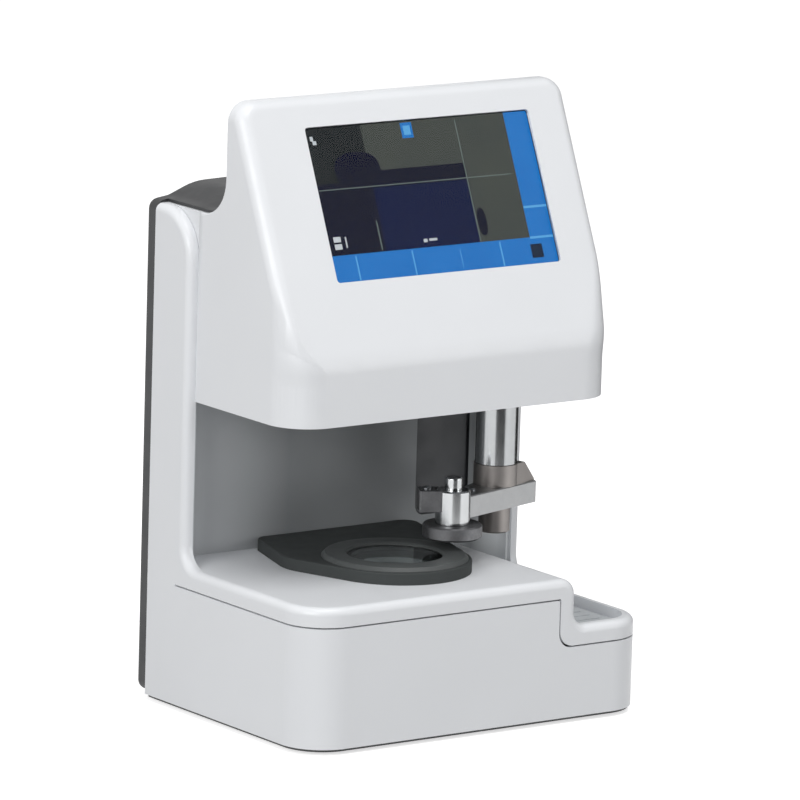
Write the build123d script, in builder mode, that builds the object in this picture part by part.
"""Touch-screen lens centring and measuring unit with a travelling blocking arm.

Frame: X to the right, Y to the back, Z up, in millimetres.  The origin is on the standing
surface, under the middle of the overall box.  The unit is a C: a base with the lens stage and
an accessory tray, a column at the back, and a head that leans back and carries the screen.
"""
import os
from math import acos, atan2, cos, degrees, hypot, radians, sin, tan

from build123d import *

os.makedirs("parts", exist_ok=True)

# ---------------------------------------------------------------- driving sizes
# body
body_width = 235.0          # across the two side panels
body_depth = 161.6          # front of the base to the rear edge of the white shells
rear_cover_depth = 10.4     # dark cover behind the white shells
corner_radius = 25.0        # upright front corners of the base, in plan
shell_wall = 3.0
edge_round = 4.5            # soft outer edge that runs round the C
seam_gap = 0.9              # shadow gap between the base and the top cover
seam_lap = 0.4              # top cover above the seam line

# levels
foot_height = 1.8
bottom_plate_thickness = 1.5
seam_z = 71.8
rim_band = 11.3             # from the seam up to the deck, and round the tray step
throat_height = 94.5        # deck to the underside of the head
front_band_height = 35.4    # upright band below the screen face
face_length = 151.3         # screen face, from its knee to the top edge
face_tilt = 24.0            # degrees back from upright
saddle_drop = 66.0          # head top down to the saddle behind the head
hump_height = 10.5          # dark hump above the saddle

# places in depth, all from the front of the base
head_setback = 30.5
head_back = 102.0
column_setback = 126.7
throat_depth = 150.0
seam_end = 134.0

# column side panels
panel_thickness = 6.5
panel_top_radius = 28.0
panel_foot_radius = 12.0
head_inset = 5.8            # head side, in from the side panel

# tray
tray_step_from_right = 53.0  # right side of the base to the tray's step
tray_rim_drop = 27.7        # deck down to the tray's rim
tray_depth = 6.9            # rim down to the tray floor
tray_mat_thickness = 1.5

# lens stage
stage_x = -12.6
stage_from_front = 69.0
stage_plate_thickness = 6.9
stage_margin = 4.0          # plate outside the ring
ring_radius = 39.5
ring_height = 2.4
window_radius = 26.8

# blocking arm
shaft_x = 68.4
shaft_from_front = 86.0
shaft_radius = 12.0
arm_reach = 45.0            # shaft axis to chuck axis
arm_thickness = 12.5
arm_clear_below = 25.4      # arm underside above the deck
hub_half_width = 14.0
tip_half_width = 7.2
hub_end = 23.5
collar_height = 12.3
travel_left = 39.3
travel_right = 12.0
lift_up = 36.0
chuck_radius = 10.0

# screen
screen_width = 152.3
screen_height = 87.9
screen_x = 5.6
screen_up_face = 89.9       # knee to the screen's centre, along the face

# fits
running = 0.05              # radial clearance of a shaft in its hole
slip = 0.3                  # gap between pieces that do not touch

# ---------------------------------------------------------------- worked-out places
half_width = body_width / 2
overall_depth = body_depth + rear_cover_depth
front_y = -overall_depth / 2
rear_y = overall_depth / 2
shell_rear_y = front_y + body_depth
skirt_z = foot_height + bottom_plate_thickness
deck_z = seam_z + rim_band
head_z = deck_z + throat_height
knee_z = head_z + front_band_height
tilt = radians(face_tilt)
head_top_z = knee_z + face_length * cos(tilt)
saddle_z = head_top_z - saddle_drop
hump_z = saddle_z + hump_height
head_front_y = front_y + head_setback
head_back_y = front_y + head_back
column_y = front_y + column_setback
throat_y = front_y + throat_depth
head_half = half_width - head_inset
panel_inner = half_width - panel_thickness

tray_x = half_width - tray_step_from_right
tray_rim_z = deck_z - tray_rim_drop
tray_floor_z = tray_rim_z - tray_depth
tray_seam_z = tray_rim_z - rim_band
seam_x = tray_x - rim_band

stage_y = front_y + stage_from_front
stage_top_z = deck_z + stage_plate_thickness
plate_radius = ring_radius + stage_margin

shaft_y = front_y + shaft_from_front
arm_z = deck_z + arm_clear_below
arm_top_z = arm_z + arm_thickness
collar_z = arm_top_z + collar_height
chuck_y = stage_y
chuck_x = shaft_x - (arm_reach**2 - (shaft_y - chuck_y) ** 2) ** 0.5
arm_angle = degrees(atan2(chuck_y - shaft_y, chuck_x - shaft_x))


# ---------------------------------------------------------------- outlines
def closed_outline(points, radii, mode=Mode.ADD):
    """Closed outline with its own radius at every corner, as a face of the current sketch."""
    with BuildLine() as outline:
        FilletPolyline(*points, radius=radii, close=True)
    make_face(outline.line.edges(), mode=mode)


def belt_outline(rounds):
    """Outline drawn tight round circles (x, y, radius), which are listed anticlockwise."""
    count = len(rounds)
    touch = []
    for n in range(count):
        x0, y0, r0 = rounds[n]
        x1, y1, r1 = rounds[(n + 1) % count]
        touch.append(atan2(y1 - y0, x1 - x0) - acos((r0 - r1) / hypot(x1 - x0, y1 - y0)))
    with BuildLine() as belt:
        for n in range(count):
            x0, y0, r0 = rounds[n]
            x1, y1, r1 = rounds[(n + 1) % count]
            a, b = touch[n - 1], touch[n]
            sweep_angle = (degrees(b - a) + 360) % 360
            CenterArc((x0, y0), r0, degrees(a), sweep_angle)
            Line((x0 + r0 * cos(b), y0 + r0 * sin(b)), (x1 + r1 * cos(b), y1 + r1 * sin(b)))
    make_face(belt.line.edges())


def body_outline(inset=0.0, mode=Mode.ADD):
    """Plan of the white shells, moved in by inset: round at the front, nearly square behind."""
    x, y0, y1 = half_width - inset, front_y + inset, shell_rear_y - inset
    r = corner_radius - inset
    closed_outline([(-x, y0), (x, y0), (x, y1), (-x, y1)], [r, r, 0, 0], mode)


def seam_outline(lift, top):
    """Front view of everything above the seam, which steps down beside the tray."""
    x = seam_x + lift
    closed_outline(
        [(-2 * half_width, seam_z + lift), (x, seam_z + lift), (x, tray_seam_z + lift),
         (2 * half_width, tray_seam_z + lift), (2 * half_width, top), (-2 * half_width, top)],
        [0, 1.0, 9.0, 0, 0, 0],
    )


def head_outline(inset=0.0, floor=None):
    """Side view of the head moved in by inset, from its front band to the saddle and the back."""
    floor = head_z if floor is None else floor
    run = (inset + (head_top_z - inset - knee_z) * sin(tilt)) / cos(tilt)
    closed_outline(
        [(head_front_y + inset, floor),
         (head_front_y + inset, knee_z - inset * tan(tilt / 2)),
         (head_front_y + run, head_top_z - inset),
         (head_back_y - inset, head_top_z - inset),
         (head_back_y - inset, saddle_z - inset),
         (shell_rear_y - inset, saddle_z - inset),
         (shell_rear_y - inset, floor)],
        [0, 30.0, 0, 0, 22.0 + inset, 0, 0],
    )


# ---------------------------------------------------------------- small builders
def block(x0, x1, y0, y1, z0, z1, mode=Mode.ADD):
    """Square block between two corners, in the piece being built."""
    with Locations(((x0 + x1) / 2, (y0 + y1) / 2, (z0 + z1) / 2)):
        Box(x1 - x0, y1 - y0, z1 - z0, mode=mode)


def disc(x, y, z0, z1, radius, mode=Mode.ADD):
    """Upright cylinder from z0 to z1, in the piece being built."""
    with Locations((x, y, (z0 + z1) / 2)):
        Cylinder(radius, z1 - z0, mode=mode)


def rod_x(y, z, x0, x1, radius, mode=Mode.ADD):
    """Cylinder along X from x0 to x1, in the piece being built."""
    with Locations(Location(((x0 + x1) / 2, y, z), (0, 90, 0))):
        Cylinder(radius, x1 - x0, mode=mode)


def rod_y(x, z, y0, y1, radius, mode=Mode.ADD):
    """Cylinder along Y from y0 to y1, in the piece being built."""
    with Locations(Location((x, (y0 + y1) / 2, z), (90, 0, 0))):
        Cylinder(radius, y1 - y0, mode=mode)


def upright(outline_faces, z0, z1, mode=Mode.ADD):
    """Extrude faces that lie on z0 up to z1, in the piece being built."""
    extrude(outline_faces, amount=z1 - z0, mode=mode)


# ---------------------------------------------------------------- what lies above the seam
def seam_space(lift):
    """Everything above the seam, its front and sides moved by lift to leave the shadow gap."""
    with BuildPart() as space:
        with BuildSketch(Plane.XZ.offset(-front_y + 5)):
            seam_outline(lift, saddle_z + 10)
        extrude(amount=-(seam_end + 5))
        with BuildSketch(Plane.XZ.offset(-(front_y + seam_end))):
            seam_outline(0.0, saddle_z + 10)
        extrude(amount=-(body_depth - seam_end + 5))
    return space.part


above_gap = seam_space(seam_gap / 2)
above_skirt = seam_space(-seam_gap / 2)

# ---------------------------------------------------------------- base housing
fixings = [(side * (half_width - 19.5), z) for side in (-1, 1) for z in (16.0, 130.0, 262.0)]
standoff_radius = 5.0
boss_x, boss_step_y = half_width - 12.0, (body_depth - 44.0) / 2
boss_y = (front_y + shell_rear_y) / 2
socket_z = 34.0             # middle of the inlet panel
socket_half_width = 75.0

with BuildPart() as base_housing:
    with BuildSketch(Plane.XY.offset(skirt_z)):
        body_outline()
        body_outline(shell_wall, mode=Mode.SUBTRACT)
    extrude(amount=seam_z - skirt_z)
    add(above_skirt, mode=Mode.SUBTRACT)
    # bosses for the bottom plate screws, three down each side
    with BuildSketch(Plane.XY.offset(skirt_z)):
        with Locations((0, boss_y)):
            with GridLocations(2 * boss_x + 6.0, boss_step_y, 2, 3):
                Rectangle(14.0, 9.0)
        body_outline(shell_wall / 2, mode=Mode.INTERSECT)
    extrude(amount=14.0)
    with BuildSketch(Plane.XY.offset(skirt_z)):
        with Locations((0, boss_y)):
            with GridLocations(2 * boss_x, boss_step_y, 2, 3):
                Circle(1.6)
    extrude(amount=11.0, mode=Mode.SUBTRACT)
    # the back wall is open behind the inlet panel
    block(-socket_half_width, socket_half_width, shell_rear_y - shell_wall - 1, shell_rear_y + 1,
          socket_z - 18, socket_z + 18, Mode.SUBTRACT)
    for x, z in fixings:
        rod_y(x, z, shell_rear_y - shell_wall - 1, shell_rear_y + 1, standoff_radius + slip,
              Mode.SUBTRACT)
base_housing.part.label = "base_housing"
export_step(base_housing.part, "parts/base_housing.step")

# ---------------------------------------------------------------- bottom plate, feet, screws
foot_radius, foot_inset = 11.0, 30.0
plate_inset = 1.5
with BuildPart() as bottom_plate:
    with BuildSketch(Plane.XY.offset(foot_height)):
        body_outline(plate_inset)
        with Locations((0, boss_y)):
            with GridLocations(2 * boss_x, boss_step_y, 2, 3):
                Circle(1.6, mode=Mode.SUBTRACT)
        with Locations((-58.0, -52.0)):
            with GridLocations(10.0, 0, 4, 1):
                Rectangle(4.0, 26.0, mode=Mode.SUBTRACT)
    extrude(amount=bottom_plate_thickness)
bottom_plate.part.label = "bottom_plate"
export_step(bottom_plate.part, "parts/bottom_plate.step")

with BuildPart() as rubber_feet:
    with BuildSketch(Plane.XY):
        with Locations((0, boss_y)):
            with GridLocations(body_width - 2 * foot_inset, body_depth - 2 * foot_inset, 2, 2):
                Circle(foot_radius)
    extrude(amount=foot_height, taper=8)
rubber_feet.part.label = "rubber_feet"
export_step(rubber_feet.part, "parts/rubber_feet.step")

with BuildPart() as bottom_screws:
    with BuildSketch(Plane.XY.offset(foot_height - 1.0)):
        with Locations((0, boss_y)):
            with GridLocations(2 * boss_x, boss_step_y, 2, 3):
                Circle(2.8)
    extrude(amount=1.0)
    with BuildSketch(Plane.XY.offset(foot_height - 0.3)):
        with Locations((0, boss_y)):
            with GridLocations(2 * boss_x, boss_step_y, 2, 3):
                Circle(1.5)
    extrude(amount=11.0)
bottom_screws.part.label = "bottom_screws"
export_step(bottom_screws.part, "parts/bottom_screws.step")

# ---------------------------------------------------------------- frame cover
tray_lip = panel_thickness
tray_floor = 2.4
liner_thickness = 2.0
light_hole = 23.0


def deck_outline(drop=0.0, side=0.0):
    """Front view of the deck and the tray rim, lowered by drop and its step moved by side."""
    x = tray_x - side
    closed_outline(
        [(-2 * half_width, 0), (2 * half_width, 0), (2 * half_width, tray_rim_z - drop),
         (x, tray_rim_z - drop), (x, deck_z - drop), (-2 * half_width, deck_z - drop)],
        [0, 0, 0, 8.0, 9.5 - drop, 0],
    )


def panel_outline(foot_z, deep):
    """Side view of a column side panel with a soft foot on the surface at foot_z."""
    closed_outline(
        [(column_y - 20, foot_z - deep), (column_y - 20, foot_z), (column_y, foot_z),
         (column_y, saddle_z), (shell_rear_y, saddle_z), (shell_rear_y, foot_z - deep)],
        [0, 0, panel_foot_radius, panel_top_radius, 0, 0],
    )


with BuildPart() as frame_cover:
    with BuildSketch(Plane.XY.offset(tray_seam_z - 5)):
        body_outline()
    extrude(amount=deck_z - tray_seam_z + 5)
    with BuildSketch(Plane.XZ.offset(-front_y + 5)):
        deck_outline()
    extrude(amount=-(body_depth + 10), mode=Mode.INTERSECT)
    with BuildSketch(Plane.YZ.offset(-half_width)):
        panel_outline(deck_z, shell_wall)
    extrude(amount=panel_thickness)
    with BuildSketch(Plane.YZ.offset(panel_inner)):
        panel_outline(tray_rim_z, shell_wall)
    extrude(amount=panel_thickness)
    # the soft outer edge, all round the deck, down the step and up the side panels
    outer_edge = (
        frame_cover.edges()
        .filter_by(lambda e: e.center().Z > tray_rim_z - 0.1)
        .filter_by(lambda e: e.bounding_box().min.Y < shell_rear_y - 2)
        .filter_by(lambda e: (e @ 0.5).Y < front_y + 0.1
                   or abs((e @ 0.5).X) > half_width - 0.1
                   or hypot(abs((e @ 0.5).X) - half_width + corner_radius,
                            (e @ 0.5).Y - front_y - corner_radius) > corner_radius - 0.1
                   and (e @ 0.5).Y < front_y + corner_radius)
    )
    fillet(outer_edge, edge_round)
    add(above_gap, mode=Mode.INTERSECT)
    # hollow below the deck, the step and the tray
    with BuildSketch(Plane.XY.offset(tray_seam_z - 5), mode=Mode.PRIVATE) as hollow_plan:
        body_outline(shell_wall)
    with BuildSketch(Plane.XZ.offset(-front_y + 5), mode=Mode.PRIVATE) as hollow_front:
        closed_outline(
            [(-2 * half_width, 0), (2 * half_width, 0), (2 * half_width, tray_floor_z - tray_floor),
             (tray_x - shell_wall, tray_floor_z - tray_floor),
             (tray_x - shell_wall, deck_z - shell_wall), (-2 * half_width, deck_z - shell_wall)],
            [0, 0, 0, 1.0, 6.0, 0],
        )
    hollow_sides = extrude(hollow_plan.sketch, amount=deck_z, mode=Mode.PRIVATE)
    hollow_fronts = extrude(hollow_front.sketch, amount=-(body_depth + 10), mode=Mode.PRIVATE)
    add(hollow_sides & hollow_fronts, mode=Mode.SUBTRACT)
    # tray pocket, back to the throat
    with BuildSketch(Plane.XY.offset(tray_floor_z)):
        closed_outline(
            [(tray_x, front_y + tray_lip), (panel_inner, front_y + tray_lip),
             (panel_inner, throat_y + liner_thickness), (tray_x, throat_y + liner_thickness)],
            [2.0, corner_radius - tray_lip, 0, 0],
        )
    extrude(amount=deck_z - tray_floor_z + 5, mode=Mode.SUBTRACT)
    # light hole under the stage, and the slot the column rises through
    disc(stage_x, stage_y, deck_z - 2 * shell_wall, deck_z + 1, light_hole, Mode.SUBTRACT)
    block(-panel_inner + slip, panel_inner - slip, throat_y + liner_thickness + 1.0,
          shell_rear_y - shell_wall, tray_floor_z - 5, deck_z + 1, Mode.SUBTRACT)
frame_cover.part.label = "frame_cover"
export_step(frame_cover.part, "parts/frame_cover.step")

# ---------------------------------------------------------------- throat liner and its panel
liner_front_y = column_y + 2.0
liner_radius = 20.0
recess_x0, recess_x1 = 59.5, 97.0
recess_z = deck_z + 8.4
recess_reveal = 0.6
panel_face_y = throat_y + 0.9

with BuildPart() as throat_liner:
    with BuildSketch(Plane.XY.offset(tray_floor_z)) as liner_plan:
        closed_outline(
            [(-panel_inner, liner_front_y), (panel_inner, liner_front_y),
             (panel_inner, throat_y + liner_thickness), (-panel_inner, throat_y + liner_thickness)],
            [0, 0, liner_radius + liner_thickness, liner_radius + liner_thickness],
        )
        closed_outline(
            [(-panel_inner + liner_thickness, column_y - 5), (panel_inner - liner_thickness, column_y - 5),
             (panel_inner - liner_thickness, throat_y), (-panel_inner + liner_thickness, throat_y)],
            [0, 0, liner_radius, liner_radius], Mode.SUBTRACT,
        )
    extrude(amount=head_z - tray_floor_z)
    block(-half_width, tray_x, column_y, throat_y + 5, 0, deck_z, Mode.SUBTRACT)
    with BuildSketch(Plane.XZ.offset(-(throat_y - 1))):
        closed_outline(
            [(recess_x0 - recess_reveal, recess_z - recess_reveal),
             (recess_x1 + recess_reveal, recess_z - recess_reveal),
             (recess_x1 + recess_reveal, head_z + 5), (recess_x0 - recess_reveal, head_z + 5)],
            [6.0, 6.0, 0, 0],
        )
    extrude(amount=-(liner_thickness + 2), mode=Mode.SUBTRACT)
throat_liner.part.label = "throat_liner"
export_step(throat_liner.part, "parts/throat_liner.step")

with BuildPart() as arm_recess_panel:
    with BuildSketch(Plane.XZ.offset(-panel_face_y)):
        closed_outline([(recess_x0, recess_z), (recess_x1, recess_z), (recess_x1, head_z - slip),
                        (recess_x0, head_z - slip)], [5.4, 5.4, 0, 0])
    extrude(amount=-(throat_y + liner_thickness - panel_face_y))
    block(recess_x0 - 5, recess_x1 + 5, throat_y + liner_thickness, throat_y + liner_thickness + 1.2,
          recess_z - 5, head_z - slip)
arm_recess_panel.part.label = "arm_recess_panel"
export_step(arm_recess_panel.part, "parts/arm_recess_panel.step")

with BuildPart() as tray_mat:
    with BuildSketch(Plane.XY.offset(tray_floor_z)):
        closed_outline(
            [(tray_x + slip, front_y + tray_lip + slip),
             (panel_inner - liner_thickness - slip, front_y + tray_lip + slip),
             (panel_inner - liner_thickness - slip, throat_y - slip), (tray_x + slip, throat_y - slip)],
            [2.0, corner_radius - tray_lip, liner_radius, 1.0],
        )
    extrude(amount=tray_mat_thickness)
    with BuildSketch(Plane.XY.offset(tray_floor_z + tray_mat_thickness)):
        with Locations(((tray_x + panel_inner) / 2, (front_y + throat_y) / 2)):
            with GridLocations(0, 9.0, 1, 13):
                Rectangle(30.0, 2.0)
    extrude(amount=0.5)
tray_mat.part.label = "tray_mat"
export_step(tray_mat.part, "parts/tray_mat.step")

# ---------------------------------------------------------------- lens stage
ring_seat_radius = ring_radius - 8.0
ring_bevel = 2.0
window_drop = 1.4
stage_rear_y = throat_y - 1.0
axis_plane = Plane(origin=(stage_x, stage_y, 0), x_dir=(1, 0, 0), z_dir=(0, -1, 0))

with BuildPart() as stage_plate:
    with BuildSketch(Plane.XY.offset(deck_z)):
        belt_outline([(stage_x, stage_y, plate_radius),
                      (stage_x + 58.6, stage_rear_y - 8.0, 8.0),
                      (stage_x - 34.4, stage_rear_y - 8.0, 8.0),
                      (stage_x - 24.4, stage_y + 28.5, 30.0)])
        with Locations((stage_x, stage_y)):
            Circle(light_hole, mode=Mode.SUBTRACT)
    extrude(amount=stage_plate_thickness)
    disc(stage_x, stage_y, stage_top_z - 3.0, stage_top_z + 1, ring_seat_radius, Mode.SUBTRACT)
    fillet(stage_plate.faces().sort_by(Axis.Z)[-1].outer_wire().edges(), 1.0)
stage_plate.part.label = "stage_plate"
export_step(stage_plate.part, "parts/stage_plate.step")

with BuildPart() as stage_ring:
    with BuildSketch(axis_plane):
        Polygon(
            (window_radius - 2.5, stage_top_z - 3.0),
            (ring_seat_radius, stage_top_z - 3.0),
            (ring_seat_radius, stage_top_z),
            (ring_radius + ring_bevel, stage_top_z),
            (ring_radius + ring_bevel, stage_top_z + 0.4),
            (ring_radius, stage_top_z + ring_height),
            (window_radius + 1.2, stage_top_z + ring_height),
            (window_radius, stage_top_z + ring_height - 0.9),
            (window_radius, stage_top_z + ring_height - window_drop - 2.0),
            (window_radius - 2.5, stage_top_z + ring_height - window_drop - 2.0),
            align=None,
        )
    revolve(axis=Axis((stage_x, stage_y, 0), (0, 0, 1)))
stage_ring.part.label = "stage_ring"
export_step(stage_ring.part, "parts/stage_ring.step")

with BuildPart() as stage_window:
    disc(stage_x, stage_y, stage_top_z + ring_height - window_drop - 2.0,
         stage_top_z + ring_height - window_drop, window_radius)
    chamfer(stage_window.edges().group_by(Axis.Z)[-1], 0.3)
stage_window.part.label = "stage_window"
export_step(stage_window.part, "parts/stage_window.step")

# ---------------------------------------------------------------- head
face_edge_radius = 8.0
band_corner_radius = 24.0     # corners of the head's front band, in plan
face_corner_radius = 12.0
back_edge_radius = 1.4
bezel = 0.6                 # opening round the lit screen
face_relief = 1.2           # housing made thinner behind the opening
gasket_thickness = 0.6
glass_thickness = 1.8
glass_margin = 5.0          # glass beyond the opening
display_thickness = 5.0
bracket_thickness = 1.5
cover_plate_thickness = 2.5
head_window_radius = 16.0
slot_clearance = 3.0         # round the shaft where it passes the bottom cover
slot_x0 = shaft_x - travel_left - shaft_radius - slot_clearance
slot_x1 = shaft_x + travel_right + shaft_radius + slot_clearance


def face_plane(depth=0.0):
    """Plane on the tilted face, centred on the screen and moved in by depth."""
    y = head_front_y + screen_up_face * sin(tilt) + depth * cos(tilt)
    z = knee_z + screen_up_face * cos(tilt) - depth * sin(tilt)
    return Plane(origin=(screen_x, y, z), x_dir=(1, 0, 0), z_dir=(0, -cos(tilt), sin(tilt)))


def head_body(inset):
    """The head as a solid, moved in by inset, with its soft edges."""
    half = head_half - inset
    with BuildPart() as body:
        with BuildSketch(Plane.YZ.offset(-half)):
            head_outline(inset)
        extrude(amount=2 * half)
        top_corners = (
            body.edges().filter_by(Axis.Y)
            .filter_by(lambda e: e.center().Z > head_top_z - inset - 1)
        )
        fillet(top_corners, face_corner_radius - inset)
        front_faces = (
            body.faces()
            .filter_by(lambda f: abs(f.normal_at(f.center()).X) < 0.1)
            .filter_by(lambda f: f.normal_at(f.center()).Y < -0.5)
        )
        front_edges = ShapeList(
            e for f in front_faces for e in f.edges()
            if e.center().Z > head_z + 1
            and (abs(e.center().X) > half / 2 or e.center().Z > head_top_z - inset - 1)
        )
        fillet(front_edges, face_edge_radius - inset)
        # the corners of the front band are rounder in plan than the edges of the sloping face
        with BuildSketch(Plane.XY.offset(head_z)):
            closed_outline(
                [(-half, head_front_y + inset), (half, head_front_y + inset),
                 (half, shell_rear_y + 20), (-half, shell_rear_y + 20)],
                [band_corner_radius - inset, band_corner_radius - inset, 0, 0],
            )
        extrude(amount=head_top_z - head_z + 20, mode=Mode.INTERSECT)
        # between the side panels the head is a little narrower
        with BuildSketch(Plane.XY.offset(head_z)):
            for side in (-1, 1):
                with Locations((side * (panel_inner - slip - inset + 10), shell_rear_y)):
                    Rectangle(20, 2 * (shell_rear_y - column_y + slip + inset))
        extrude(amount=saddle_z - head_z + 30, mode=Mode.SUBTRACT)
    return body.part


with BuildPart() as head_housing:
    add(head_body(0.0))
    back_edges = (
        head_housing.edges()
        .filter_by(lambda e: abs(e.center().Y - head_back_y) < 0.1)
        .filter_by(lambda e: e.center().Z > saddle_z + 25)
    )
    fillet(back_edges, back_edge_radius)
    add(head_body(shell_wall), mode=Mode.SUBTRACT)
    # open below, and open at the back between the side panels
    with BuildSketch(Plane.XY.offset(head_z - 1)):
        x, r = head_half - shell_wall, band_corner_radius - shell_wall
        y0, y1 = head_front_y + shell_wall, column_y - slip - shell_wall
        closed_outline([(-x, y0), (x, y0), (x, y1), (-x, y1)], [r, r, 0, 0])
    extrude(amount=shell_wall + 2, mode=Mode.SUBTRACT)
    block(-panel_inner + slip + shell_wall, panel_inner - slip - shell_wall,
          column_y - slip - shell_wall - 1, shell_rear_y + 1, head_z - 1, saddle_z - shell_wall,
          Mode.SUBTRACT)
    # screen opening with its relief behind, and bosses for the cover screws
    with BuildSketch(face_plane(-1.0)):
        RectangleRounded(screen_width + 2 * bezel, screen_height + 2 * bezel, 2.0)
    extrude(amount=-(shell_wall + 2.0), mode=Mode.SUBTRACT)
    with BuildSketch(face_plane(shell_wall - face_relief)):
        Rectangle(screen_width + 2 * (bezel + glass_margin), screen_height + 2 * (bezel + glass_margin))
    extrude(amount=-(face_relief + 1.0), mode=Mode.SUBTRACT)
    for side in (-1, 1):
        x0, x1 = sorted((side * (head_half - 10.0), side * (head_half - 2.0)))
        for y in (-35.0, 5.0):
            block(x0, x1, y - 5, y + 5, head_z + cover_plate_thickness, head_z + 16)
            disc(side * (head_half - 6.5), y, head_z, head_z + 14, 1.6, Mode.SUBTRACT)
head_housing.part.label = "head_housing"
export_step(head_housing.part, "parts/head_housing.step")

with BuildPart() as head_bottom_cover:
    with BuildSketch(Plane.XY.offset(head_z)):
        with BuildLine() as cover_plan:
            x0, x1 = head_half - shell_wall - slip, panel_inner - 2 * slip - shell_wall
            y0, y1, y2 = head_front_y + shell_wall + slip, column_y - 4 * slip - shell_wall, throat_y
            r = band_corner_radius - shell_wall
            FilletPolyline((-x0, y0), (x0, y0), (x0, y1), (x1, y1), (x1, y2), (-x1, y2), (-x1, y1),
                           (-x0, y1), radius=[r, r, 0, 0, 0, 0, 0, 0], close=True)
        make_face(cover_plan.line.edges())
        with Locations((stage_x, stage_y)):
            Circle(head_window_radius, mode=Mode.SUBTRACT)
        with Locations(((slot_x0 + slot_x1) / 2, shaft_y)):
            Rectangle(slot_x1 - slot_x0, 2 * (shaft_radius + slot_clearance), mode=Mode.SUBTRACT)
        with Locations((0, -15.0)):
            with GridLocations(2 * (head_half - 6.5), 40.0, 2, 2):
                Circle(1.6, mode=Mode.SUBTRACT)
    extrude(amount=cover_plate_thickness)
    with Locations((0, -15.0, head_z)):
        with GridLocations(2 * (head_half - 6.5), 40.0, 2, 2):
            Cylinder(2.9, 2.4, mode=Mode.SUBTRACT)
head_bottom_cover.part.label = "head_bottom_cover"
export_step(head_bottom_cover.part, "parts/head_bottom_cover.step")

with BuildPart() as head_screws:
    for side in (-1, 1):
        for y in (-35.0, 5.0):
            x = side * (head_half - 6.5)
            disc(x, y, head_z + 0.2, head_z + 1.2, 2.7)
            disc(x, y, head_z + 0.6, head_z + 12, 1.5)
head_screws.part.label = "head_screws"
export_step(head_screws.part, "parts/head_screws.step")

with BuildPart() as head_window:
    disc(stage_x, stage_y, head_z + 0.4, head_z + cover_plate_thickness, head_window_radius)
head_window.part.label = "head_window"
export_step(head_window.part, "parts/head_window.step")

# ---------------------------------------------------------------- screen stack
glass_width = screen_width + 2 * (bezel + glass_margin) - 1.0
glass_height = screen_height + 2 * (bezel + glass_margin) - 1.0
glass_depth = shell_wall - face_relief + gasket_thickness
display_depth = glass_depth + glass_thickness

with BuildPart() as screen_gasket:
    with BuildSketch(face_plane(shell_wall - face_relief)):
        Rectangle(glass_width, glass_height)
        RectangleRounded(screen_width + 2 * bezel, screen_height + 2 * bezel, 2.0, mode=Mode.SUBTRACT)
    extrude(amount=-gasket_thickness)
screen_gasket.part.label = "screen_gasket"
export_step(screen_gasket.part, "parts/screen_gasket.step")

with BuildPart() as touch_glass:
    with BuildSketch(face_plane(glass_depth)):
        Rectangle(glass_width, glass_height)
    extrude(amount=-glass_thickness)
touch_glass.part.label = "touch_glass"
export_step(touch_glass.part, "parts/touch_glass.step")

with BuildPart() as lcd_panel:
    with BuildSketch(face_plane(display_depth)):
        Rectangle(glass_width, glass_height)
    extrude(amount=-display_thickness)
    with BuildSketch(face_plane(display_depth + display_thickness)):
        with Locations((-30.0, 0)):
            Rectangle(62.0, 60.0)
    extrude(amount=-1.6)
lcd_panel.part.label = "lcd_panel"
export_step(lcd_panel.part, "parts/lcd_panel.step")

bracket_depth = display_depth + display_thickness
bracket_half = head_half - shell_wall - 6.0
with BuildPart() as display_bracket:
    with BuildSketch(face_plane(bracket_depth)):
        with Locations((-screen_x, 0)):
            Rectangle(2 * bracket_half, 40.0)
        Rectangle(glass_width, glass_height)
        with Locations((-30.0, 0)):
            Rectangle(66.0, 64.0, mode=Mode.SUBTRACT)
        with Locations((44.0, 0)):
            Rectangle(46.0, 60.0, mode=Mode.SUBTRACT)
    extrude(amount=-bracket_thickness)
    with BuildSketch(face_plane(shell_wall)):
        with Locations((-screen_x, 0)):
            with GridLocations(2 * (bracket_half - 3.0), 30.0, 2, 2):
                Rectangle(6.0, 8.0)
    extrude(amount=-(bracket_depth - shell_wall))
display_bracket.part.label = "display_bracket"
export_step(display_bracket.part, "parts/display_bracket.step")

# ---------------------------------------------------------------- column and head frames
frame_thickness = 3.0
frame_half = head_half - shell_wall - 2.2
column_frame_y = throat_y + 4.0
head_frame_y = column_y - slip - 0.4
frame_top_z = saddle_z - shell_wall - 3.0
leg_width = 18.0

with BuildPart() as column_frame:
    with BuildSketch(Plane.XZ.offset(-column_frame_y)):
        with Locations((0, (skirt_z + frame_top_z) / 2)):
            Rectangle(2 * frame_half, frame_top_z - skirt_z)
        with Locations((0, (skirt_z + tray_seam_z + 22) / 2)):
            Rectangle(2 * (frame_half - leg_width), tray_seam_z + 22 - skirt_z, mode=Mode.SUBTRACT)
        with Locations((0, 0.5 * (deck_z + head_z))):
            with GridLocations(72.0, 0, 2, 1):
                RectangleRounded(46.0, 60.0, 6.0, mode=Mode.SUBTRACT)
        with Locations((0, 230.0)):
            RectangleRounded(120.0, 56.0, 6.0, mode=Mode.SUBTRACT)
    extrude(amount=-frame_thickness)
    for x, z in fixings:
        rod_y(x, z, column_frame_y - 1, column_frame_y + frame_thickness + 1, 1.6, Mode.SUBTRACT)
    for side in (-1, 1):
        x0, x1 = sorted((side * (frame_half - 7.0), side * (frame_half - leg_width)))
        block(x0, x1, column_frame_y - 20, column_frame_y, skirt_z, skirt_z + 2.0)
column_frame.part.label = "column_frame"
export_step(column_frame.part, "parts/column_frame.step")

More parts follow.
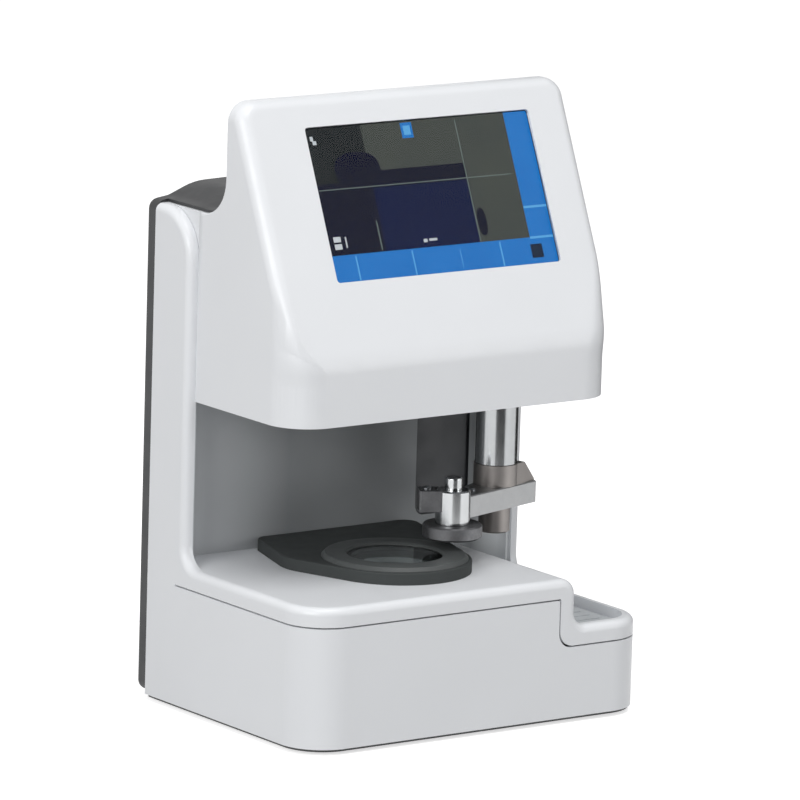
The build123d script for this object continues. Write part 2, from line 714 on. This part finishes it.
with BuildPart() as head_frame:
    with BuildSketch(Plane.XZ.offset(-head_frame_y)):
        with Locations((0, (head_z + 5 + frame_top_z) / 2)):
            Rectangle(2 * frame_half, frame_top_z - head_z - 5)
        with Locations((-60.0, head_z + 52.0)):
            RectangleRounded(50.0, 66.0, 6.0, mode=Mode.SUBTRACT)
    extrude(amount=-frame_thickness)
    for side in (-1, 1):
        x0, x1 = sorted((side * frame_half, side * (frame_half - frame_thickness)))
        block(x0, x1, head_frame_y, column_frame_y, head_z + 5, frame_top_z)
head_frame.part.label = "head_frame"
export_step(head_frame.part, "parts/head_frame.step")

# ---------------------------------------------------------------- traverse
rail_y = head_frame_y - 14.0
rail_radius = 4.0
rail_z0, rail_z1 = head_z + 14.4, head_z + 50.4
screw_radius = 4.0
traverse_screw_z = (rail_z0 + rail_z1) / 2
rail_x0 = stage_x - 21.4
rail_x1 = frame_half
plate_z0, plate_z1 = rail_z0 - 9.0, rail_z1 + 9.0
motor_size = 28.0
motor_length = 26.0

with BuildPart() as rail_end_plates:
    for x0, x1 in ((rail_x0, rail_x0 + frame_thickness), (rail_x1 - frame_thickness, rail_x1)):
        block(x0, x1, rail_y - 9.0, head_frame_y, plate_z0, plate_z1)
        for z in (rail_z0, rail_z1):
            rod_x(rail_y, z, x0 - 1, x1 + 1, rail_radius, Mode.SUBTRACT)
        rod_x(rail_y, traverse_screw_z, x0 - 1, x1 + 1, screw_radius + running, Mode.SUBTRACT)
rail_end_plates.part.label = "rail_end_plates"
export_step(rail_end_plates.part, "parts/rail_end_plates.step")

with BuildPart() as guide_rods:
    for z in (rail_z0, rail_z1):
        rod_x(rail_y, z, rail_x0, rail_x1, rail_radius)
    chamfer(guide_rods.edges().filter_by(GeomType.CIRCLE), 0.5)
guide_rods.part.label = "guide_rods"
export_step(guide_rods.part, "parts/guide_rods.step")

with BuildPart() as traverse_motor:
    block(rail_x0 - motor_length, rail_x0, rail_y - motor_size / 2, rail_y + motor_size / 2 - 0.5,
          traverse_screw_z - motor_size / 2, traverse_screw_z + motor_size / 2)
    chamfer(traverse_motor.edges().filter_by(Axis.X), 2.5)
    rod_x(rail_y, traverse_screw_z, rail_x0 - 8.0, rail_x0 + 1, screw_radius + running, Mode.SUBTRACT)
traverse_motor.part.label = "traverse_motor"
export_step(traverse_motor.part, "parts/traverse_motor.step")

with BuildPart() as traverse_screw:
    rod_x(rail_y, traverse_screw_z, rail_x0 - 7.7, rail_x1 - 0.3, screw_radius)
    chamfer(traverse_screw.edges().filter_by(GeomType.CIRCLE), 0.4)
traverse_screw.part.label = "traverse_screw"
export_step(traverse_screw.part, "parts/traverse_screw.step")

# ---------------------------------------------------------------- carriage
carriage_half = 20.0
carriage_z0 = head_z + 5.0
arm_block_z1 = head_z + 28.0
carriage_z1 = rail_z1 + 9.0
carriage_front_y = shaft_y - 18.0
bush_radius = shaft_radius + 3.0
nut_half = 9.0
bracket_top_z = carriage_z1 + 11.5
shaft_top_z = arm_block_z1 - 1.0
lift_screw_radius = 3.0

with BuildPart() as carriage:
    block(shaft_x - carriage_half, shaft_x + carriage_half, carriage_front_y, shaft_y + 13,
          carriage_z0, arm_block_z1)
    block(shaft_x - carriage_half, shaft_x + carriage_half, shaft_y + 13, head_frame_y - 1.0,
          carriage_z0, carriage_z1)
    fillet(carriage.edges().filter_by(Axis.Z).group_by(Axis.Y)[0], 5.0)
    disc(shaft_x, shaft_y, carriage_z0 - 1, arm_block_z1 + 1, bush_radius, Mode.SUBTRACT)
    for z in (rail_z0, rail_z1):
        rod_x(rail_y, z, shaft_x - carriage_half - 1, shaft_x + carriage_half + 1,
              rail_radius + running, Mode.SUBTRACT)
    rod_x(rail_y, traverse_screw_z, shaft_x - carriage_half - 1, shaft_x + carriage_half + 1,
          nut_half, Mode.SUBTRACT)
carriage.part.label = "carriage"
export_step(carriage.part, "parts/carriage.step")

with BuildPart() as traverse_nut:
    rod_x(rail_y, traverse_screw_z, shaft_x - carriage_half + 4, shaft_x + carriage_half - 4, nut_half)
    rod_x(rail_y, traverse_screw_z, shaft_x - carriage_half, shaft_x + carriage_half,
          screw_radius + running, Mode.SUBTRACT)
traverse_nut.part.label = "traverse_nut"
export_step(traverse_nut.part, "parts/traverse_nut.step")

with BuildPart() as shaft_bush:
    disc(shaft_x, shaft_y, carriage_z0, arm_block_z1, bush_radius)
    disc(shaft_x, shaft_y, carriage_z0 - 1, arm_block_z1 + 1, shaft_radius + running, Mode.SUBTRACT)
shaft_bush.part.label = "shaft_bush"
export_step(shaft_bush.part, "parts/shaft_bush.step")

with BuildPart() as lift_bracket:
    block(shaft_x - carriage_half + 2, shaft_x + carriage_half - 2, head_frame_y - 4.0,
          head_frame_y - 1.0, carriage_z1, bracket_top_z)
    block(shaft_x - carriage_half + 2, shaft_x + carriage_half - 2, shaft_y - 15.0,
          head_frame_y - 1.0, bracket_top_z - frame_thickness, bracket_top_z)
    disc(shaft_x, shaft_y, bracket_top_z - 5, bracket_top_z + 1, lift_screw_radius + running,
         Mode.SUBTRACT)
lift_bracket.part.label = "lift_bracket"
export_step(lift_bracket.part, "parts/lift_bracket.step")

lift_motor_height = 20.0
with BuildPart() as lift_motor:
    block(shaft_x - motor_size / 2, shaft_x + motor_size / 2, shaft_y - motor_size / 2,
          shaft_y + motor_size / 2, bracket_top_z, bracket_top_z + lift_motor_height)
    chamfer(lift_motor.edges().filter_by(Axis.Z), 2.5)
    disc(shaft_x, shaft_y, bracket_top_z - 1, bracket_top_z + 8, lift_screw_radius + running,
         Mode.SUBTRACT)
lift_motor.part.label = "lift_motor"
export_step(lift_motor.part, "parts/lift_motor.step")

lift_screw_end_z = head_z - 8.0
with BuildPart() as lift_screw:
    disc(shaft_x, shaft_y, lift_screw_end_z, bracket_top_z + 7.5, lift_screw_radius)
    chamfer(lift_screw.edges().filter_by(GeomType.CIRCLE), 0.4)
lift_screw.part.label = "lift_screw"
export_step(lift_screw.part, "parts/lift_screw.step")

# ---------------------------------------------------------------- shaft, arm and chuck
spigot_radius = 7.0
collar_radius = shaft_radius + 0.6
nut_height = 15.0
nut_radius = 9.0
shaft_bore_radius = 5.0
shaft_bore_z = lift_screw_end_z - lift_up - 1.0
lift_nut_radius = 8.0
lift_nut_height = 10.0

with BuildPart() as arm_shaft:
    disc(shaft_x, shaft_y, collar_z, shaft_top_z, shaft_radius)
    chamfer(arm_shaft.edges().group_by(Axis.Z)[-1], 0.8)
    disc(shaft_x, shaft_y, arm_z - nut_height + 3, collar_z, spigot_radius)
    disc(shaft_x, shaft_y, shaft_bore_z, shaft_top_z + 1, shaft_bore_radius, Mode.SUBTRACT)
    disc(shaft_x, shaft_y, shaft_top_z - lift_nut_height, shaft_top_z + 1, lift_nut_radius,
         Mode.SUBTRACT)
arm_shaft.part.label = "arm_shaft"
export_step(arm_shaft.part, "parts/arm_shaft.step")

with BuildPart() as lift_nut:
    disc(shaft_x, shaft_y, shaft_top_z - lift_nut_height, shaft_top_z, lift_nut_radius)
    disc(shaft_x, shaft_y, shaft_top_z - lift_nut_height - 1, shaft_top_z + 1,
         lift_screw_radius + running, Mode.SUBTRACT)
lift_nut.part.label = "lift_nut"
export_step(lift_nut.part, "parts/lift_nut.step")

arm_plane = Plane(origin=(shaft_x, shaft_y, arm_z),
                  x_dir=(cos(radians(arm_angle)), sin(radians(arm_angle)), 0), z_dir=(0, 0, 1))
with BuildPart() as chuck_arm:
    with BuildSketch(arm_plane):
        closed_outline(
            [(-hub_end, -hub_half_width), (arm_reach, -tip_half_width), (arm_reach, tip_half_width),
             (-hub_end, hub_half_width)], [2.0, 0, 0, 2.0],
        )
    extrude(amount=arm_thickness)
    disc(shaft_x, shaft_y, arm_z - 1, arm_top_z + 1, spigot_radius, Mode.SUBTRACT)
    disc(chuck_x, chuck_y, arm_z - 1, arm_top_z + 1, chuck_radius, Mode.SUBTRACT)
    chamfer(chuck_arm.edges().group_by(Axis.Z)[-1].filter_by(GeomType.LINE), 0.6)
chuck_arm.part.label = "chuck_arm"
export_step(chuck_arm.part, "parts/chuck_arm.step")

shoulder_half = 12.0
with BuildPart() as arm_collar:
    disc(shaft_x, shaft_y, arm_top_z, collar_z, collar_radius)
    with BuildSketch(Plane(origin=arm_plane.origin + arm_plane.y_dir * shoulder_half,
                           x_dir=arm_plane.x_dir, z_dir=-arm_plane.y_dir)) as shoulder_side:
        Polygon((0, arm_thickness), (0, arm_thickness + collar_height),
                (-hub_end + collar_height - 0.8, arm_thickness + collar_height),
                (-hub_end + 0.8, arm_thickness + 1.0), (-hub_end + 0.8, arm_thickness), align=None)
    extrude(amount=2 * shoulder_half)
    disc(shaft_x, shaft_y, arm_top_z - 1, collar_z + 1, spigot_radius, Mode.SUBTRACT)
arm_collar.part.label = "arm_collar"
export_step(arm_collar.part, "parts/arm_collar.step")

with BuildPart() as shaft_end_nut:
    disc(shaft_x, shaft_y, arm_z - nut_height, arm_z, nut_radius)
    chamfer(shaft_end_nut.edges().group_by(Axis.Z)[0], 0.8)
    disc(shaft_x, shaft_y, arm_z - nut_height + 3, arm_z + 1, spigot_radius, Mode.SUBTRACT)
shaft_end_nut.part.label = "shaft_end_nut"
export_step(shaft_end_nut.part, "parts/shaft_end_nut.step")

# chuck: barrel, sprung plunger and the block holder below
barrel_z0, barrel_z1 = arm_z - 3.2, arm_top_z + 4.0
plunger_radius = 5.0
plunger_top_z = barrel_z1 + 7.2
plunger_travel = 4.0
stem_radius = 2.0
cavity_radius = 7.5
cavity_z0, cavity_z1 = barrel_z0 + 1.4, barrel_z1 - 7.5
flange_height = 2.4
holder_radius = 17.0
holder_z0 = barrel_z0 - 7.9
pad_thickness = 0.8
socket_radius = 6.0
socket_depth = 6.0

with BuildPart() as chuck_barrel:
    disc(chuck_x, chuck_y, barrel_z0, barrel_z1, chuck_radius)
    chamfer(chuck_barrel.edges().group_by(Axis.Z)[-1], 0.8)
    disc(chuck_x, chuck_y, cavity_z0, cavity_z1, cavity_radius, Mode.SUBTRACT)
    disc(chuck_x, chuck_y, cavity_z1 - 1, barrel_z1 + 1, plunger_radius + running, Mode.SUBTRACT)
    disc(chuck_x, chuck_y, barrel_z0 - 1, cavity_z0 + 1, stem_radius + running, Mode.SUBTRACT)
chuck_barrel.part.label = "chuck_barrel"
export_step(chuck_barrel.part, "parts/chuck_barrel.step")

flange_z0 = cavity_z1 - 0.5 - flange_height
with BuildPart() as chuck_knob:
    disc(chuck_x, chuck_y, cavity_z1 - 0.5, plunger_top_z, plunger_radius)
    fillet(chuck_knob.edges().group_by(Axis.Z)[-1], 1.2)
    disc(chuck_x, chuck_y, flange_z0, cavity_z1 - 0.5, cavity_radius - 0.4)
    disc(chuck_x, chuck_y, holder_z0 + socket_depth + 0.4, flange_z0, stem_radius)
chuck_knob.part.label = "chuck_knob"
export_step(chuck_knob.part, "parts/chuck_knob.step")

spring_wire = 0.4
spring_radius = cavity_radius - 1.6
with BuildPart() as knob_spring:
    spring_z0, spring_z1 = cavity_z0 + spring_wire, flange_z0 - spring_wire - 0.05
    with BuildLine(Plane(origin=(chuck_x, chuck_y, spring_z0))) as coil:
        Helix(pitch=(spring_z1 - spring_z0) / 3, height=spring_z1 - spring_z0, radius=spring_radius)
    with BuildSketch(Plane(origin=coil.line @ 0, z_dir=coil.line % 0)):
        RegularPolygon(spring_wire, 4)
    sweep(path=coil.line, is_frenet=True)
knob_spring.part.label = "knob_spring"
export_step(knob_spring.part, "parts/knob_spring.step")

with BuildPart() as block_holder:
    disc(chuck_x, chuck_y, holder_z0 + pad_thickness, barrel_z0, holder_radius)
    chamfer(block_holder.edges().group_by(Axis.Z)[-1], 0.8)
    disc(chuck_x, chuck_y, holder_z0 - 1, holder_z0 + socket_depth, socket_radius, Mode.SUBTRACT)
    disc(chuck_x, chuck_y, holder_z0, barrel_z0 + 1, stem_radius + running, Mode.SUBTRACT)
block_holder.part.label = "block_holder"
export_step(block_holder.part, "parts/block_holder.step")

with BuildPart() as holder_pad:
    disc(chuck_x, chuck_y, holder_z0, holder_z0 + pad_thickness, holder_radius - 1.5)
    disc(chuck_x, chuck_y, holder_z0 - 1, holder_z0 + 2, socket_radius, Mode.SUBTRACT)
holder_pad.part.label = "holder_pad"
export_step(holder_pad.part, "parts/holder_pad.step")

clamp_half = 7.0
clamp_end = 10.0
clamp_z0 = arm_z + 4.6
clamp_way = radians(152)    # it points to the left and a little back
clamp_plane = Plane(origin=(chuck_x, chuck_y, clamp_z0),
                    x_dir=(cos(clamp_way), sin(clamp_way), 0), z_dir=(0, 0, 1))
with BuildPart() as chuck_clamp:
    with BuildSketch(clamp_plane):
        with Locations(((chuck_radius + clamp_end) / 2, 0)):
            Rectangle(chuck_radius + clamp_end, 2 * clamp_half)
    extrude(amount=barrel_z1 - clamp_z0)
    chamfer(chuck_clamp.edges().filter_by(Axis.Z), 1.0)
    disc(chuck_x, chuck_y, arm_z - 1, barrel_z1 + 1, chuck_radius, Mode.SUBTRACT)
chuck_clamp.part.label = "chuck_clamp"
export_step(chuck_clamp.part, "parts/chuck_clamp.step")

with BuildPart() as clamp_screws:
    with Locations(clamp_plane * Location((chuck_radius + clamp_end / 2, 0, barrel_z1 - clamp_z0)),
                   arm_plane * Location((arm_reach - chuck_radius - 9.0, 0, arm_thickness))):
        Cylinder(2.6, 1.6, align=(Align.CENTER, Align.CENTER, Align.MIN))
clamp_screws.part.label = "clamp_screws"
export_step(clamp_screws.part, "parts/clamp_screws.step")

# ---------------------------------------------------------------- light path above the stage
def lens(z0, z1, radius, top_sag, bottom_sag):
    """Lens on the optical axis: edge from z0 to z1, bulging by top_sag and bottom_sag."""
    with BuildSketch(axis_plane) as section:
        with BuildLine() as lens_line:
            for sag, rim, way in ((top_sag, z1, 1), (bottom_sag, z0, -1)):
                if sag:
                    ball = (sag**2 + radius**2) / (2 * sag)
                    half = radius / 2
                    rise = (ball**2 - half**2) ** 0.5 - (ball - sag)
                    ThreePointArc((0, rim + way * sag), (half, rim + way * rise), (radius, rim))
                else:
                    Line((0, rim), (radius, rim))
            Line((radius, z0), (radius, z1))
            Line((0, z0 - bottom_sag), (0, z1 + top_sag))
        make_face(lens_line.line.edges())
    revolve(section.sketch, axis=Axis((stage_x, stage_y, 0), (0, 0, 1)))


lamp_outer, lamp_inner = 17.0, 15.0
lamp_z0, lamp_z1 = head_z + cover_plate_thickness, head_z + 52.0
lens_z = head_z + 20.0

with BuildPart() as illuminator_tube:
    disc(stage_x, stage_y, lamp_z0, lamp_z1, lamp_outer)
    disc(stage_x, stage_y, lamp_z0, lamp_z0 + 2.0, lamp_outer + 3.0)
    disc(stage_x, stage_y, lamp_z0 - 1, lamp_z1 + 1, lamp_inner, Mode.SUBTRACT)
illuminator_tube.part.label = "illuminator_tube"
export_step(illuminator_tube.part, "parts/illuminator_tube.step")

with BuildPart() as collimator_lens:
    lens(lens_z, lens_z + 2.0, lamp_inner, 4.0, 0.0)
collimator_lens.part.label = "collimator_lens"
export_step(collimator_lens.part, "parts/collimator_lens.step")

with BuildPart() as led_board:
    disc(stage_x, stage_y, lamp_z1, lamp_z1 + 1.6, lamp_outer)
    disc(stage_x, stage_y, lamp_z1 - 2.0, lamp_z1, 3.0)
    block(stage_x - 6, stage_x + 6, stage_y + 6, stage_y + 12, lamp_z1 + 1.6, lamp_z1 + 5.0)
led_board.part.label = "led_board"
export_step(led_board.part, "parts/led_board.step")

# ---------------------------------------------------------------- light path below the stage
optics_outer, optics_inner = 26.0, 23.0
optics_z1 = deck_z - shell_wall
board_z = skirt_z + 12.0
imaging_lens_z = skirt_z + 46.0
hartmann_z = optics_z1 - 4.0

with BuildPart() as optics_tube:
    disc(stage_x, stage_y, skirt_z, optics_z1, optics_outer)
    disc(stage_x, stage_y, skirt_z, skirt_z + 3.0, optics_outer + 8.0)
    disc(stage_x, stage_y, skirt_z + 2.0, optics_z1 + 1, optics_inner, Mode.SUBTRACT)
optics_tube.part.label = "optics_tube"
export_step(optics_tube.part, "parts/optics_tube.step")

with BuildPart() as hartmann_plate:
    disc(stage_x, stage_y, hartmann_z, hartmann_z + 1.5, optics_inner)
    with Locations((stage_x, stage_y, hartmann_z + 0.75)):
        with GridLocations(7.0, 7.0, 5, 5):
            Box(1.6, 1.6, 3.0, mode=Mode.SUBTRACT)
hartmann_plate.part.label = "hartmann_plate"
export_step(hartmann_plate.part, "parts/hartmann_plate.step")

with BuildPart() as imaging_lens:
    lens(imaging_lens_z, imaging_lens_z + 2.0, optics_inner, 5.0, 3.0)
imaging_lens.part.label = "imaging_lens"
export_step(imaging_lens.part, "parts/imaging_lens.step")

with BuildPart() as sensor_board:
    disc(stage_x, stage_y, board_z, board_z + 1.6, optics_inner)
    block(stage_x - 8, stage_x + 8, stage_y - 8, stage_y + 8, board_z + 1.6, board_z + 4.6)
    for side in (-1, 1):
        disc(stage_x + side * 15, stage_y, skirt_z + 2.0, board_z, 3.0)
sensor_board.part.label = "sensor_board"
export_step(sensor_board.part, "parts/sensor_board.step")

# ---------------------------------------------------------------- electronics in the base
with BuildPart() as power_supply:
    supply_x, supply_y = leg_width - frame_half + 1.5, stage_y + optics_outer + 3.0
    block(supply_x, supply_x + 53.0, supply_y, supply_y + 36.0, skirt_z, skirt_z + 26.0)
    chamfer(power_supply.edges().group_by(Axis.Z)[-1], 1.5)
    with Locations(*[(supply_x + 26.5, supply_y + 5.5 + 5.0 * n, skirt_z + 26.0) for n in range(6)]):
        Box(34.0, 2.4, 4.0, mode=Mode.SUBTRACT)
power_supply.part.label = "power_supply"
export_step(power_supply.part, "parts/power_supply.step")

with BuildPart() as main_board:
    board_x, board_y = half_width - 81.5, stage_y - 33.0
    block(board_x, board_x + 60.0, board_y, board_y + 90.0, skirt_z + 8.0, skirt_z + 9.6)
    for x in (4.0, 56.0):
        for y in (4.0, 86.0):
            disc(board_x + x, board_y + y, skirt_z, skirt_z + 8.0, 3.0)
    for x, y, wide, deep, tall in ((16, 30, 22, 22, 3), (44, 14, 12, 26, 8), (8, 64, 16, 16, 5),
                                   (6, 10, 8, 12, 10)):
        block(board_x + x, board_x + x + wide, board_y + y, board_y + y + deep,
              skirt_z + 9.6, skirt_z + 9.6 + tall)
main_board.part.label = "main_board"
export_step(main_board.part, "parts/main_board.step")

# ---------------------------------------------------------------- rear cover
rear_wall = 2.5
rear_half = half_width - 0.6
rear_z0 = skirt_z + 0.8

rear_edge = 3.5
hump_half = panel_inner - 2.0
cover_gap = 0.3
panel_recess = 3.0
panel_x0, panel_x1 = -68.0, 68.0
panel_z0, panel_z1 = socket_z - 15, socket_z + 15


def rear_outline(inset=0.0):
    """Back view of the dark cover: low over the side panels, crowned between them."""
    x, z0, z1 = rear_half - inset, rear_z0 + inset, hump_z - inset
    low, rise = saddle_z + 0.8 - inset, 1.8
    corner, dip, swell = 6.0 - inset, 14.0 + inset, 40.0 - inset
    closed_outline(
        [(-x, z0), (x, z0), (x, low), (x - 13.0, low + rise), (x - 30.0, z1 - 1.2), (0, z1 + 1.2),
         (-x + 30.0, z1 - 1.2), (-x + 13.0, low + rise), (-x, low)],
        [6.0, 6.0, corner, dip, swell, 600.0, swell, dip, corner],
    )


def hump_outline(inset=0.0):
    """Back view of the crown alone, between the side panels."""
    rear_outline(inset)
    with Locations((0, saddle_z + cover_gap + 20)):
        Rectangle(2 * (hump_half - inset), 40.0, mode=Mode.INTERSECT)


with BuildPart() as rear_cover:
    with BuildSketch(Plane.XZ.offset(-(shell_rear_y + cover_gap))):
        rear_outline()
    extrude(amount=-(rear_cover_depth - cover_gap))
    fillet(rear_cover.faces().sort_by(Axis.Y)[-1].outer_wire().edges(), rear_edge)
    with BuildSketch(Plane.XZ.offset(-(head_back_y + 1.5))):
        hump_outline()
    extrude(amount=-(shell_rear_y + cover_gap + 2.0 - head_back_y - 1.5))
    with BuildSketch(Plane.YZ.offset(-half_width)):
        head_outline(-cover_gap)
    extrude(amount=2 * half_width, mode=Mode.SUBTRACT)
    # hollow, keeping the sunk panel for the sockets
    with BuildSketch(Plane.XZ.offset(-(shell_rear_y - 1)), mode=Mode.PRIVATE) as rear_hollow:
        rear_outline(rear_wall)
    sunk = rear_y - panel_recess - rear_wall
    hollow = extrude(rear_hollow.sketch, amount=-(rear_y - rear_wall - shell_rear_y + 1),
                     mode=Mode.PRIVATE)
    keep = Location(((panel_x0 + panel_x1) / 2, sunk + 5, socket_z)) * Box(
        panel_x1 - panel_x0 + 2 * rear_wall, 10, panel_z1 - panel_z0 + 2 * rear_wall, mode=Mode.PRIVATE)
    add(hollow - keep, mode=Mode.SUBTRACT)
    with BuildSketch(Plane.XZ.offset(-(head_back_y + 20))):
        rear_outline(rear_wall)
        with Locations((0, saddle_z + 18)):
            Rectangle(2 * (hump_half - rear_wall), 40.0, mode=Mode.INTERSECT)
    extrude(amount=-(shell_rear_y + 2 - head_back_y - 20), mode=Mode.SUBTRACT)
    block(panel_x0, panel_x1, rear_y - panel_recess, rear_y + 1, panel_z0, panel_z1, Mode.SUBTRACT)
    # standoffs to the column, vents, and the socket cut-outs
    for x, z in fixings:
        rod_y(x, z, column_frame_y + frame_thickness, rear_y - rear_wall, standoff_radius)
        rod_y(x, z, column_frame_y, rear_y + 1, 1.6, Mode.SUBTRACT)
        rod_y(x, z, rear_y - 1.9, rear_y + 1, 3.3, Mode.SUBTRACT)
    with BuildSketch(Plane.XZ.offset(-(rear_y + 1))):
        for z in (104.0, 216.0):
            with Locations((0, z)):
                with GridLocations(12.0, 0, 10, 1):
                    Rectangle(4.0, 40.0)
    extrude(amount=rear_wall + 3, mode=Mode.SUBTRACT)
    for x, w, h in ((-44.0, 27.4, 20.4), (-8.0, 15.4, 22.4), (38.0, 46.4, 16.4)):
        block(x - w / 2, x + w / 2, sunk - 1, rear_y + 1, socket_z - h / 2, socket_z + h / 2,
              Mode.SUBTRACT)
rear_cover.part.label = "rear_cover"
export_step(rear_cover.part, "parts/rear_cover.step")

with BuildPart() as rear_cover_screws:
    for x, z in fixings:
        rod_y(x, z, rear_y - 1.9, rear_y - 0.4, 3.0)
        rod_y(x, z, column_frame_y, rear_y - 1.0, 1.5)
rear_cover_screws.part.label = "rear_cover_screws"
export_step(rear_cover_screws.part, "parts/rear_cover_screws.step")

# ---------------------------------------------------------------- sockets and power switch
sunk_face_y = rear_y - panel_recess
flange = 1.6

with BuildPart() as power_inlet:
    block(-44.0 - 13.5, -44.0 + 13.5, sunk_face_y - 22, sunk_face_y, socket_z - 10, socket_z + 10)
    block(-44.0 - 17.0, -44.0 + 17.0, sunk_face_y, sunk_face_y + flange, socket_z - 13, socket_z + 13)
    with BuildSketch(Plane.XZ.offset(-(sunk_face_y + flange + 1))):
        closed_outline([(-44.0 - 12.2, socket_z - 8.4), (-44.0 + 12.2, socket_z - 8.4),
                        (-44.0 + 12.2, socket_z + 4.0), (-44.0 + 7.6, socket_z + 8.4),
                        (-44.0 - 7.6, socket_z + 8.4), (-44.0 - 12.2, socket_z + 4.0)],
                       [1.5, 1.5, 1.0, 1.0, 1.0, 1.0])
    extrude(amount=18.0, mode=Mode.SUBTRACT)
    for x, z in ((-51.0, socket_z - 2.0), (-37.0, socket_z - 2.0), (-44.0, socket_z + 2.0)):
        block(x - 1.0, x + 1.0, sunk_face_y - 16, sunk_face_y - 4, z - 2.0, z + 2.0)
power_inlet.part.label = "power_inlet"
export_step(power_inlet.part, "parts/power_inlet.step")

rocker_x = -8.0
rocker_radius = 9.2
rocker_half = 5.6
rocker_tilt = 8.0           # the switch rests this far over, at off
rocker_pivot_y = sunk_face_y - 1.5
with BuildPart() as rocker_frame:
    block(rocker_x - 7.5, rocker_x + 7.5, sunk_face_y - 16, sunk_face_y, socket_z - 11, socket_z + 11)
    block(rocker_x - 9.5, rocker_x + 9.5, sunk_face_y, sunk_face_y + flange,
          socket_z - 13.5, socket_z + 13.5)
    block(rocker_x - rocker_half - slip, rocker_x + rocker_half + slip, sunk_face_y - 12,
          sunk_face_y + 5, socket_z - rocker_radius - slip, socket_z + rocker_radius + slip,
          Mode.SUBTRACT)
    rod_x(rocker_pivot_y, socket_z, rocker_x - rocker_half - slip - 0.8,
          rocker_x + rocker_half + slip + 0.8, 1.25, Mode.SUBTRACT)
rocker_frame.part.label = "rocker_frame"
export_step(rocker_frame.part, "parts/rocker_frame.step")

with BuildPart() as power_rocker:
    with Locations(Location((rocker_x, rocker_pivot_y, socket_z), (0, 90, 0))):
        Cylinder(rocker_radius, 2 * rocker_half)
    rise = (rocker_radius * sin(radians(rocker_tilt)))
    with BuildSketch(Plane.YZ.offset(rocker_x - rocker_half)):
        Polygon((rocker_pivot_y - 6.0, socket_z - rocker_radius), (rocker_pivot_y + 1.2, socket_z - rocker_radius),
                (rocker_pivot_y + 1.2 + 0.6, socket_z), (rocker_pivot_y + 1.2 + 2 * rise + 0.4,
                socket_z + rocker_radius), (rocker_pivot_y - 3.0, socket_z + rocker_radius), align=None)
    extrude(amount=2 * rocker_half, mode=Mode.INTERSECT)
    rod_x(rocker_pivot_y, socket_z, rocker_x - rocker_half - slip - 0.6,
          rocker_x + rocker_half + slip + 0.6, 1.2)
power_rocker.part.label = "power_rocker"
export_step(power_rocker.part, "parts/power_rocker.step")

with BuildPart() as data_ports:
    block(38.0 - 23.0, 38.0 + 23.0, sunk_face_y - 14, sunk_face_y, socket_z - 8, socket_z + 8)
    block(38.0 - 26.0, 38.0 + 26.0, sunk_face_y, sunk_face_y + 0.8, socket_z - 10.5, socket_z + 10.5)
    for x, w, h in ((24.0, 12.4, 4.8), (52.0, 12.4, 4.8), (38.0, 11.8, 9.0)):
        block(x - w / 2, x + w / 2, sunk_face_y - 10, sunk_face_y + 2, socket_z - h / 2,
              socket_z + h / 2, Mode.SUBTRACT)
    for x in (24.0, 52.0):
        block(x - 5.0, x + 5.0, sunk_face_y - 10, sunk_face_y - 1.5, socket_z - 0.2, socket_z + 1.4)
data_ports.part.label = "data_ports"
export_step(data_ports.part, "parts/data_ports.step")
